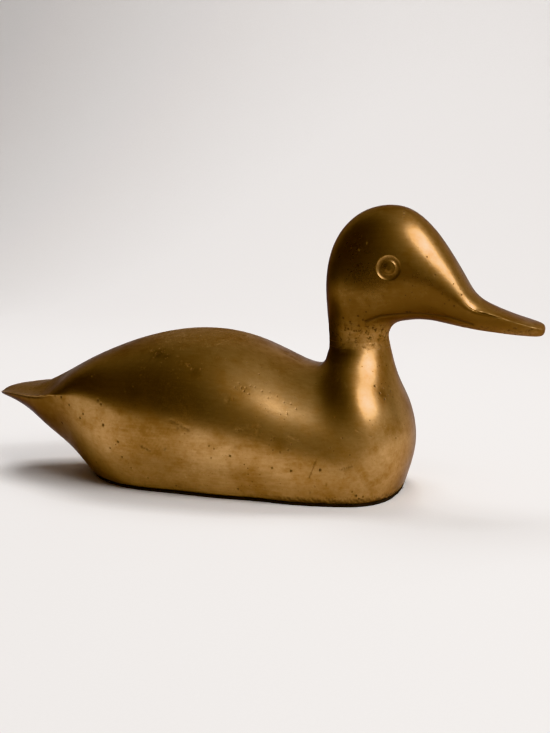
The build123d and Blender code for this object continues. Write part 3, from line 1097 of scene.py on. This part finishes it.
# %% Scatter the pits in swarms and find the nearest one
wires = {"Vector": place_now, "Scale": 1 / swarm_size}
swarm = soft_step(skin_tree, first("ShaderNodeTexNoise", wires), swarm_from, swarm_full)
seed = {"Seed": given["Seed"]}
wires = {"Mesh": given["Geometry"], "Density": calc("MULTIPLY", swarm, given["Pits per Square Metre"])}
pit_points = node("GeometryNodeDistributePointsOnFaces", {**wires, **seed}).outputs["Points"]
wires = {2: given["Pit Radius Min"], 3: given["Pit Radius Max"], **seed}
pit_size = node("FunctionNodeRandomValue", wires, data_type="FLOAT").outputs[1]
pit_points = keep_number(pit_points, "pit_radius", pit_size)
wires = {"Geometry": pit_points, "Sample Position": place_now}
nearest = first("GeometryNodeSampleNearest", wires, **on_points)
pit_place = of_nearest(place_now, "FLOAT_VECTOR")
pit_radius = of_nearest(named_number("pit_radius"), "FLOAT")
away = vector_node(skin_tree, "DISTANCE", place_now, pit_place, out="Value")
ragged = calc("MULTIPLY_ADD", sized_noise(ragged_size, 1.0), ragged_gain, ragged_least)
away = calc("MULTIPLY", away, ragged)
pit_share = calc("DIVIDE", away, calc("MAXIMUM", pit_radius, least_radius))
pit_dish = soft_step(skin_tree, pit_share, 1.0, 0.2)
print("pits scattered by", skin_tree.name)

# %% Press wave, roughness and pits into the net
wave = calc("MULTIPLY", sized_noise(given["Wave Size"], 1.0), given["Wave Depth"])
roughness = calc("MULTIPLY", sized_noise(given["Rough Size"], 3.0), given["Rough Depth"])
roughness = calc("MULTIPLY", roughness, named_number("rough"))
pit_depth = calc("MULTIPLY", calc("MULTIPLY", pit_dish, pit_radius), given["Pit Depth Share"])
inwards = calc("ADD", calc("ADD", wave, roughness), pit_depth)
darker = calc("MAXIMUM", named_number("dark"), calc("MULTIPLY", pit_dish, pit_dark))
marked = keep_number(given["Geometry"], "dark", darker)
wires = {0: first("GeometryNodeInputNormal"), "Scale": calc("MULTIPLY", inwards, -1.0)}
offset = first("ShaderNodeVectorMath", wires, operation="SCALE")
pressed = first("GeometryNodeSetPosition", {"Geometry": marked, "Offset": offset})
plain = first("GeometryNodeRealizeInstances", {"Geometry": pressed})
wires = {"Geometry": plain, "Material": given["Material"]}
skin_tree.links.new(first("GeometryNodeSetMaterial", wires), made.inputs[0])


def run_tree(piece, tree, values):
    """Run a geometry tree on a piece with its inputs set, and keep the result as plain mesh."""
    step = piece.modifiers.new(tree.name, "NODES")
    step.node_group = tree
    for item in tree.interface.items_tree:
        if item.item_type == "SOCKET" and item.in_out == "INPUT" and item.name in values:
            step[item.identifier] = values[item.name]
    settle(piece)


run_tree(body, skin_tree, {"Seed": 11, "Material": body_brass})
run_tree(head_piece, skin_tree, {"Seed": 5, "Material": head_brass, "Pits per Square Metre": 4000.0})
print("skins pressed:", len(body.data.vertices), "and", len(head_piece.data.vertices), "points")

# %% [markdown]
# ## Cutting the castings
# The skins run past the joint and past the floor. They are now cut as the real pieces are:
# the body is cut level at the neck and at the rim, hollowed to an even wall, and given a
# socket and a recess for the board. The head gets its plug. A vee goes all round the neck
# where the two meet, and is filled with brazing metal flush with the surface. Booleans do
# this here, since modelling each edge by hand would not follow a change of size.


# %% Tools for the joint
def joint_ring(inset, height):
    """Outline of the neck at the joint, moved in by the inset and up by the height."""
    half = half_line(slice_poles(neck[0], inset), 24)
    ring = np.vstack([half, half[1:-1][::-1] * [1, -1, 1]])
    return ring + [0, 0, height]


def vee_tool():
    """The ring of space between the two castings that the filler takes."""
    band = round_neck(neck_joint - braze_height, neck_joint + braze_height)
    far = braze_height + 1 * mm
    widening = 2 * braze_depth * far / braze_height
    rings = [joint_ring(braze_depth - widening * abs(h), h * far) for h in (-1, 0, 1)]
    cut(band, make_piece("tool", *ring_mesh(np.array(rings))))
    return band


def hull_inset(inset, spacing=4 * mm):
    return skin_between("tool", hull, 0, len(hull) - 1, spacing, 40, inset=inset)


# %% Cut the body
rim_top = felt_thickness + board_thickness + board_gap
collar = round_neck(neck_joint - socket_depth + overrun, crown + overrun)
hollow = hull_inset(body_wall)
cut(hollow, collar)
recess = hull_inset(board_lip, 1.5 * mm)
cut(recess, slab(felt_thickness - overrun, rim_top), "INTERSECT")
bore = spigot_diameter / 2 + spigot_clearance
for tool in (
    round_neck(neck_joint, crown + overrun),
    slab(-back_height, felt_thickness),
    vee_tool(),
    hollow,
    upright_rod(bore, neck_joint - socket_depth, neck_joint + overrun),
    recess,
):
    cut(body, tool)
print("body casting:", len(body.data.polygons), "faces")

# %% Cut the head and give it its plug
plug_end = neck_joint - spigot_length
skull_hollow = skin_between("tool", skull, 0, len(skull) - 1, 2.5 * mm, 40, inset=head_wall)
cut(head_piece, round_neck(neck_joint, crown + overrun), "INTERSECT")
for tool in (vee_tool(), skull_hollow):
    cut(head_piece, tool)
cut(head_piece, upright_rod(spigot_diameter / 2, plug_end, neck_joint + braze_height), "UNION")
cut(head_piece, upright_rod(vent_diameter / 2, plug_end - overrun, neck_joint + vent_height))
print("head casting:", len(head_piece.data.polygons), "faces")

# %% Fill the vee with brazing metal
filler_start, filler_end, filler_spacing = joint_index - 0.6, joint_index + 0.6, 0.25 * mm
filler = skin_between("neck_braze_ring", duck, filler_start, filler_end, filler_spacing, 90)
none = np.zeros(len(filler.data.vertices))
# The filler's hollow number is painted shade behind the neck, and a little under the head.
for name, values in (("rough", neck_rough(points_of(filler))), ("worn", none),
                     ("hollow", painted_shade_of(filler, *head_side)), ("dark", none)):
    store(filler, name, values)
run_tree(filler, skin_tree, {"Seed": 3, "Material": filler_brass, "Pits per Square Metre": 40000.0,
                             "Pit Radius Min": 0.2 * mm, "Pit Radius Max": 0.45 * mm})
cut(filler, vee_tool(), "INTERSECT")
print("filler ring:", len(filler.data.polygons), "faces")

# %% [markdown]
# ## Felt
# The felt is cut to the rim's own outline, a little inside it, and glued on. Cut felt has a
# soft edge with loose hairs, so the edge is rounded and short fibres stand out of it. A plain
# block would show a hard corner against the cloth it stands on.

# %% Felt outline from the rim
def felt_outline(height, count):
    """Outline of the inset hull at one height, from tail to breast and back, evenly spaced."""
    clock, at = run_through(np.array([slice_poles(s, felt_setback) for s in hull]))
    crossings = []
    for seven in at(ring_times(clock, at, 0, len(hull) - 1, 1 * mm)):
        line = half_line(seven)
        above = line[:, 2] > height
        for i in np.flatnonzero(above[:-1] != above[1:]):
            share = (height - line[i, 2]) / (line[i + 1, 2] - line[i, 2])
            crossings.append(line[i] + (line[i + 1] - line[i]) * share)
    crossings = np.array(crossings)
    middle = (crossings[:, 0].min() + crossings[:, 0].max()) / 2
    crossings = crossings[np.argsort(np.arctan2(crossings[:, 1], middle - crossings[:, 0]))]
    half = np.vstack([crossings[:1] * [1, 0, 1], crossings, crossings[-1:] * [1, 0, 1]])
    travel = np.concatenate([[0], np.cumsum(np.linalg.norm(np.diff(half, axis=0), axis=1))])
    even = np.linspace(0, travel[-1], count // 2 + 1)
    half = np.stack([np.interp(even, travel, half[:, k]) for k in range(3)], axis=1)
    return np.vstack([half, half[1:-1][::-1] * [1, -1, 1]])


rim_line = felt_outline(felt_thickness, 360)
felt_size = np.ptp(rim_line, axis=0)[:2]
print("felt", (felt_size / mm).round(1), "mm")


# %% Felt pad with a soft edge
def inwards_of(ring):
    """Directions into the outline, level and square to it."""
    along = np.roll(ring, -1, axis=0) - np.roll(ring, 1, axis=0)
    across = np.stack([along[:, 1], -along[:, 0], np.zeros(len(ring))], axis=1)
    across /= np.linalg.norm(across, axis=1)[:, None]
    return across if ((ring.mean(axis=0) - ring) * across).sum() > 0 else -across


def felt_ring(inset, height, square_to=2 * mm):
    """The outline moved in by the inset, which shrinks it evenly where it lies far inside."""
    ring = rim_line + inwards_of(rim_line) * min(inset, square_to)
    centre = np.array([rim_line[:, 0].min() + felt_size[0] / 2, 0, 0])
    spare = max(inset - square_to, 0) / (felt_size[1] / 2)
    ring = centre + (ring - centre) * (1 - spare)
    return np.column_stack([ring[:, :2], np.full(len(ring), height)])


# Each pair is an inset in millimetres and a share of the felt's height.
edge_profile = [
    (3.0, 0), (1.4, 0), (0.7, 0), (0.32, 0.01), (0.14, 0.09), (0.03, 0.28), (0, 0.5),
    (0, 0.72), (0.05, 0.9), (0.16, 0.98), (0.34, 1), (0.8, 1), (1.6, 1), (3.0, 1),
]
deep_insets = [28, 22, 16, 11, 7, 4.5]
profile = [(i, 0) for i in deep_insets] + edge_profile + [(i, 1) for i in reversed(deep_insets)]
felt_rings = np.array([felt_ring(i * mm, h * felt_thickness) for i, h in profile])
felt = make_piece("felt_cloth", *ring_mesh(felt_rings))
fuzz, flat_skin = 0.05 * mm, 0.1 * mm
points = points_of(felt)
soft = np.random.default_rng(7).normal(0, fuzz, (len(points), 3))
soft[:, 2] *= (points[:, 2] > flat_skin) & (points[:, 2] < felt_thickness - flat_skin)
points = points + soft
points[:, 2] = np.clip(points[:, 2], 0, felt_thickness)
move_points(felt, points)
print("felt pad:", len(felt.data.polygons), "faces")

# %% [markdown]
# ## Loose hairs of the felt
# A cut edge of wool felt is never clean. A tree scatters points on the felt's edge only, stands
# a thin bent hair on each, and turns and scales each one by chance. A particle system would
# do it too, but its hairs are lost on export.

# %% Material of the felt
felt_wool, tree, shader, spot = start_material("dark_wool_felt")
lumps = noise(tree, spot, 2.2 * mm, 4, 0.7)
hairs = noise(tree, spot, 0.5 * mm, 4, 0.8, stretch=(1, 1, 2.5))
shade = math_node(tree, "MULTIPLY_ADD", lumps, 0.5, math_node(tree, "MULTIPLY", hairs, 0.5))
shade = soft_step(tree, shade, 0.3, 0.7)
wool_colour = mix_colour(tree, shade, (0.010, 0.007, 0.005, 1), (0.045, 0.034, 0.026, 1))
connect(tree, shader, Base_Color=wool_colour, Roughness=soft_step(tree, hairs, 0.2, 0.8, 0.85, 1.0),
        Normal=relief(tree, hairs, 0.8, 0.25 * mm))
shader.inputs["Specular IOR Level"].default_value = 0.2
print("felt material ready")

# %% Geometry tree for loose hairs: one hair on each point of the edge
hair_tree, given, made = start_group("loose_hairs", "GeometryNodeTree", [
    ("Geometry", "Geometry", None), ("Hairs per Square Metre", "Float", 2.6e6),
    ("Hair Length", "Float", 0.8 * mm), ("Hair Radius", "Float", 0.018 * mm),
    ("Edge Band", "Float", 0.6), ("Seed", "Int", 0), ("Material", "Material", None),
], [("Geometry", "Geometry")])
node, first = partial(add, hair_tree), partial(first_out, hair_tree)
calc, seed = partial(math_node, hair_tree), {"Seed": given["Seed"]}
facing = node("ShaderNodeSeparateXYZ", {0: first("GeometryNodeInputNormal")}).outputs
on_edge = calc("LESS_THAN", calc("ABSOLUTE", facing["Z"]), given["Edge Band"])
wires = {"Mesh": given["Geometry"], "Selection": on_edge, "Density": given["Hairs per Square Metre"]}
roots = node("GeometryNodeDistributePointsOnFaces", {**wires, **seed}).outputs
# The hair is one unit long and bends over towards its end.
path = first("GeometryNodeCurvePrimitiveBezierSegment", {
    "Resolution": 4, "Start": (0, 0, 0), "Start Handle": (0, 0, 0.3),
    "End Handle": (0.25, 0, 0.7), "End": (0.6, 0.15, 0.85)})
hair_section = node("GeometryNodeCurvePrimitiveCircle", {
    "Resolution": 3, "Radius": calc("DIVIDE", given["Hair Radius"], given["Hair Length"])})
wires = {"Curve": path, "Profile Curve": hair_section.outputs["Curve"], "Fill Caps": True}
hair = first("GeometryNodeCurveToMesh", wires)
print("hair shape ready")

# %% Turn and scale each hair by chance, and keep it above the shelf
lean, spin, shortest, clear_of_shelf = 0.9, 3.1, 0.4, 0.01 * mm
stand_up = first("FunctionNodeAlignRotationToVector", {"Vector": roots["Normal"]}, axis="Z")
wires = {0: (-lean, -lean, -spin), 1: (lean, lean, spin), **seed}
chance_turn = first("FunctionNodeRandomValue", wires, data_type="FLOAT_VECTOR")
wires = {0: stand_up, 1: chance_turn}
turned = first("FunctionNodeRotateRotation", wires, rotation_space="LOCAL")
wires = {2: shortest, 3: 1.0, **seed}
chance_size = node("FunctionNodeRandomValue", wires, data_type="FLOAT").outputs[1]
standing = first("GeometryNodeInstanceOnPoints", {
    "Points": roots["Points"], "Instance": hair, "Rotation": turned,
    "Scale": calc("MULTIPLY", chance_size, given["Hair Length"])})
real = first("GeometryNodeRealizeInstances", {"Geometry": standing})
where = node("ShaderNodeSeparateXYZ", {0: first("GeometryNodeInputPosition")}).outputs
above_shelf = calc("MINIMUM", calc("MAXIMUM", where["Z"], clear_of_shelf), felt_thickness)
wires = {0: where["X"], 1: where["Y"], 2: above_shelf}
kept_up = first("ShaderNodeCombineXYZ", wires)
real = first("GeometryNodeSetPosition", {"Geometry": real, "Position": kept_up})
wires = {"Geometry": real, "Material": given["Material"]}
hair_tree.links.new(first("GeometryNodeSetMaterial", wires), made.inputs[0])

hairs_piece = put_in_scene("felt_hairs", felt.data.copy())
run_tree(hairs_piece, hair_tree, {"Seed": 4, "Material": felt_wool})
felt.data.materials.append(felt_wool)
print("felt hairs:", len(hairs_piece.data.polygons), "faces")

# %% [markdown]
# ## Board
# The board is pressed wood fibre. It keeps its solid and only gets a finish, because
# it is hidden between the metal and the felt and its shape is already right.

# %% Material of the board
fibreboard, tree, shader, spot = start_material("pressed_fibreboard")
flecks = noise(tree, spot, 1.3 * mm, 5, 0.75)
patches = noise(tree, spot, 18 * mm, 2, 0.5)
shade = math_node(tree, "MULTIPLY_ADD", flecks, 0.7, math_node(tree, "MULTIPLY", patches, 0.3))
shade = soft_step(tree, shade, 0.3, 0.7)
wood_colour = mix_colour(tree, shade, (0.11, 0.055, 0.025, 1), (0.30, 0.18, 0.095, 1))
connect(tree, shader, Base_Color=wood_colour, Roughness=soft_step(tree, flecks, 0.2, 0.8, 0.72, 0.92),
        Normal=relief(tree, flecks, 0.5, 0.1 * mm))
board = bpy.data.objects["backing_board"]
board.data.materials.clear()
board.data.materials.append(fibreboard)
print("board finished")

# %% [markdown]
# ## Soft edges in the light
# Polished skins are shaded smooth, but the cut at the neck, the rim and the edge of the tail
# must stay crisp, so edges sharper than a set angle, in degrees, are marked. Flat shading
# would show every face of the net in the reflections.

# %% Smooth shading with crisp edges
for piece, angle in ((body, 34), (head_piece, 34), (filler, 40), (felt, 60), (hairs_piece, 80)):
    piece.data.shade_smooth()
    piece.data.set_sharp_from_angle(angle=math.radians(angle))
print("shading set")

# %% [markdown]
# ## Floor and light
# The duck stands on a plain pale floor that sweeps up behind it, as paper does in a studio. One
# large soft window stands to the front right. The room is dark at the front left and brighter
# at the right, which gives polished metal its dark bands: a bare bright room all round would
# make brass look like plastic. Two more lamps light the floor and the wall, and are kept
# out of the metal's reflections.


# %% Floor
def sweep(name, radius=0.35, back=0.50, front=-1.3, height=1.3, half=1.6, steps=24):
    """A floor that curves up into a wall behind, as one strip."""
    turns = np.linspace(0, math.pi / 2, steps)[1:]
    bend = [(back + radius * math.sin(t), radius - radius * math.cos(t)) for t in turns]
    line = [(front, 0.0), (back, 0.0), *bend, (back + radius, height)]
    points = [(x, y, z) for y, z in line for x in (-half, half)]
    faces = [(2 * i, 2 * i + 1, 2 * i + 3, 2 * i + 2) for i in range(len(line) - 1)]
    mesh = bpy.data.meshes.new(name)
    mesh.from_pydata(points, [], faces)
    mesh.shade_smooth()
    return put_in_scene(name, mesh)


floor = sweep("pale_floor")
floor_finish, tree, shader, spot = start_material("pale_floor_finish")
weave = noise(tree, spot, 1.2 * mm, 3, 0.6)
pale = mix_colour(tree, weave, (0.76, 0.75, 0.75, 1), (0.82, 0.81, 0.81, 1))
# Painted shade: the floor in front of the picture is painted dark, so that the metal doesn't mirror a
# white one.
ahead = vector_node(tree, "DOT_PRODUCT", spot, way_to(camera_turn, 0), out="Value")
floor_colour = mix_colour(tree, soft_step(tree, ahead, 0.256, 0.34), pale, (0.12, 0.08, 0.06, 1))
connect(tree, shader, Base_Color=floor_colour)
shader.inputs["Roughness"].default_value = 0.9
shader.inputs["Specular IOR Level"].default_value = 0.2
floor.data.materials.append(floor_finish)
print("floor ready")


# %% Lamps
def soft_light(name, turn, rise, distance, width, height, power, colour, glossy=False):
    """A rectangular lamp that looks at the duck, placed by its angles in degrees."""
    lamp = bpy.data.lights.new(name, "AREA")
    lamp.shape, lamp.size, lamp.size_y = "RECTANGLE", width, height
    lamp.energy, lamp.color = power, colour
    held = put_in_scene(name, lamp)
    way = way_to(math.radians(turn), math.radians(rise))
    look_back(held, way, Vector((0, 0, 60 * mm)), distance)
    held.visible_glossy = glossy


soft_light("window", 64, 43, 0.95, 0.60, 0.42, 6.4, (1.0, 0.975, 0.95), glossy=True)
soft_light("ceiling", 32, 64, 1.1, 0.7, 0.5, 1.0, (1.0, 0.985, 0.97))
soft_light("wall_wash", -150, 62, 0.9, 0.6, 0.4, 6.8, (1.0, 0.985, 0.975))
print("lamps:", len(bpy.data.lights))

# %% Room and tones
room = bpy.data.worlds.new("room")
bpy.context.scene.world = room
room.use_nodes = True
tree = room.node_tree
way = add(tree, "ShaderNodeTexCoord").outputs["Generated"]
dark_side = way_to(math.radians(-62), 0) + Vector((0, 0, 0.25))
lit_side = Vector((0.96, 0.1, 0.25))
unlit, bright = (
    soft_step(tree, vector_node(tree, "DOT_PRODUCT", way, side.normalized(), out="Value"), low, 0.85)
    for side, low in ((dark_side, 0.25), (lit_side, 0.0))
)
glow = mix_colour(tree, bright, (0.27, 0.26, 0.25, 1), (0.56, 0.53, 0.50, 1))
glow = mix_colour(tree, unlit, glow, (0.025, 0.012, 0.006, 1))
connect(tree, tree.nodes["Background"], Color=glow)
bpy.context.scene.view_settings.view_transform = "Khronos PBR Neutral"
print("room ready")

# %% [markdown]
# ## Handing over
# Each visual piece rides on the one rigid body and stands in for its solid. The felt and
# its hairs are cloth; the flat area of felt they were cut from is worked out and printed.

# %% Ride and replace
for piece, node, slot_name in (
    (body, "body_casting", "body_brass"),
    (head_piece, "head_casting", "head_brass"),
    (filler, "neck_braze", "braze"),
    (felt, "felt_pad", "felt"),
):
    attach(piece, "root")
    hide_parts(node)
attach(hairs_piece, "root")
rim_ends = zip(rim_line, np.roll(rim_line, -1, axis=0))
felt_area = abs(sum(a[0] * b[1] - b[0] * a[1] for a, b in rim_ends)) / 2
print("felt area", round(felt_area * 1e4, 1), "square centimetres")
